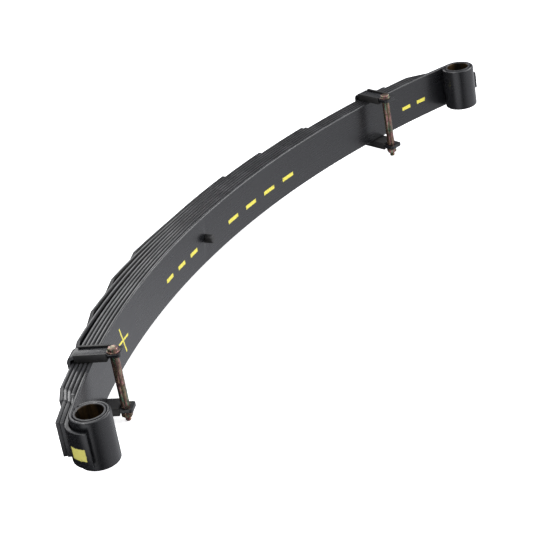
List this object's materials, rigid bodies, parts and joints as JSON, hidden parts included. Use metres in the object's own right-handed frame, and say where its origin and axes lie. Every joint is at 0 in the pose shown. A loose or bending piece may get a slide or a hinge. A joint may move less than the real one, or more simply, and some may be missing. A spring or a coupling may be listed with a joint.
{
  "type": "leaf spring",
  "caption": "Arched multi-leaf vehicle spring with rolled eyes, sleeved bores, a wrapper leaf, two bolted rebound clips and a centre bolt with a locating dowel head.",
  "frame": {"origin": "on the main leaf's hollow face, on the axis of the centre bolt", "axes": "+X runs from the front eye towards the rear eye, -Y points out of the hollow side of the arch along the centre bolt's dowel head, +Z runs across the leaves, parallel to the eye bores"},
  "size_m": [1.2038, 0.2586, 0.1097],
  "materials": {
    "leaf_paint": "satin black",
    "strap_paint": "satin black",
    "liner_plastic": "matte",
    "sleeve_steel": "oiled",
    "yellow_zinc": "iridescent yellow zinc plating",
    "black_fastener": "black oxide"
  },
  "bodies": {
    "leaf_pack": {"main_leaf": "leaf_paint", "wrapper_leaf": "leaf_paint", "leaf_3": "leaf_paint", "leaf_4": "leaf_paint", "leaf_5": "leaf_paint", "leaf_6": "leaf_paint", "leaf_7": "leaf_paint", "leaf_8": "leaf_paint", "leaf_9": "leaf_paint", "centre_bolt": "black_fastener", "centre_bolt_nut": "black_fastener"},
    "front_limb": {"front_eye_sleeve": "sleeve_steel", "front_clip_strap": "strap_paint", "front_clip_liner_upper": "liner_plastic", "front_clip_liner_lower": "liner_plastic", "front_clip_rivet": "black_fastener", "front_clip_bolt": "yellow_zinc", "front_clip_spacer": "yellow_zinc", "front_clip_nut": "yellow_zinc"},
    "rear_limb": {"rear_eye_sleeve": "sleeve_steel", "rear_clip_strap": "strap_paint", "rear_clip_liner_upper": "liner_plastic", "rear_clip_liner_lower": "liner_plastic", "rear_clip_rivet": "black_fastener", "rear_clip_bolt": "yellow_zinc", "rear_clip_spacer": "yellow_zinc", "rear_clip_nut": "yellow_zinc"}
  },
  "joints": [
    {"name": "front_limb_flex", "type": "hinge", "parent": "leaf_pack", "child": "front_limb", "pos_m": [-0.202, 0.005, 0], "axis": [0, 0, -1], "range_deg": [-2, 16], "stiffness_Nm_per_rad": 2400, "deforming": ["main_leaf", "wrapper_leaf", "leaf_3", "leaf_4", "leaf_5", "leaf_6", "leaf_7", "leaf_8", "leaf_9"]},
    {"name": "rear_limb_flex", "type": "hinge", "parent": "leaf_pack", "child": "rear_limb", "pos_m": [0.217, 0.003, 0], "axis": [0, 0, 1], "range_deg": [-2, 16], "stiffness_Nm_per_rad": 2200, "deforming": ["main_leaf", "wrapper_leaf", "leaf_3", "leaf_4", "leaf_5", "leaf_6", "leaf_7", "leaf_8", "leaf_9"]}
  ]
}
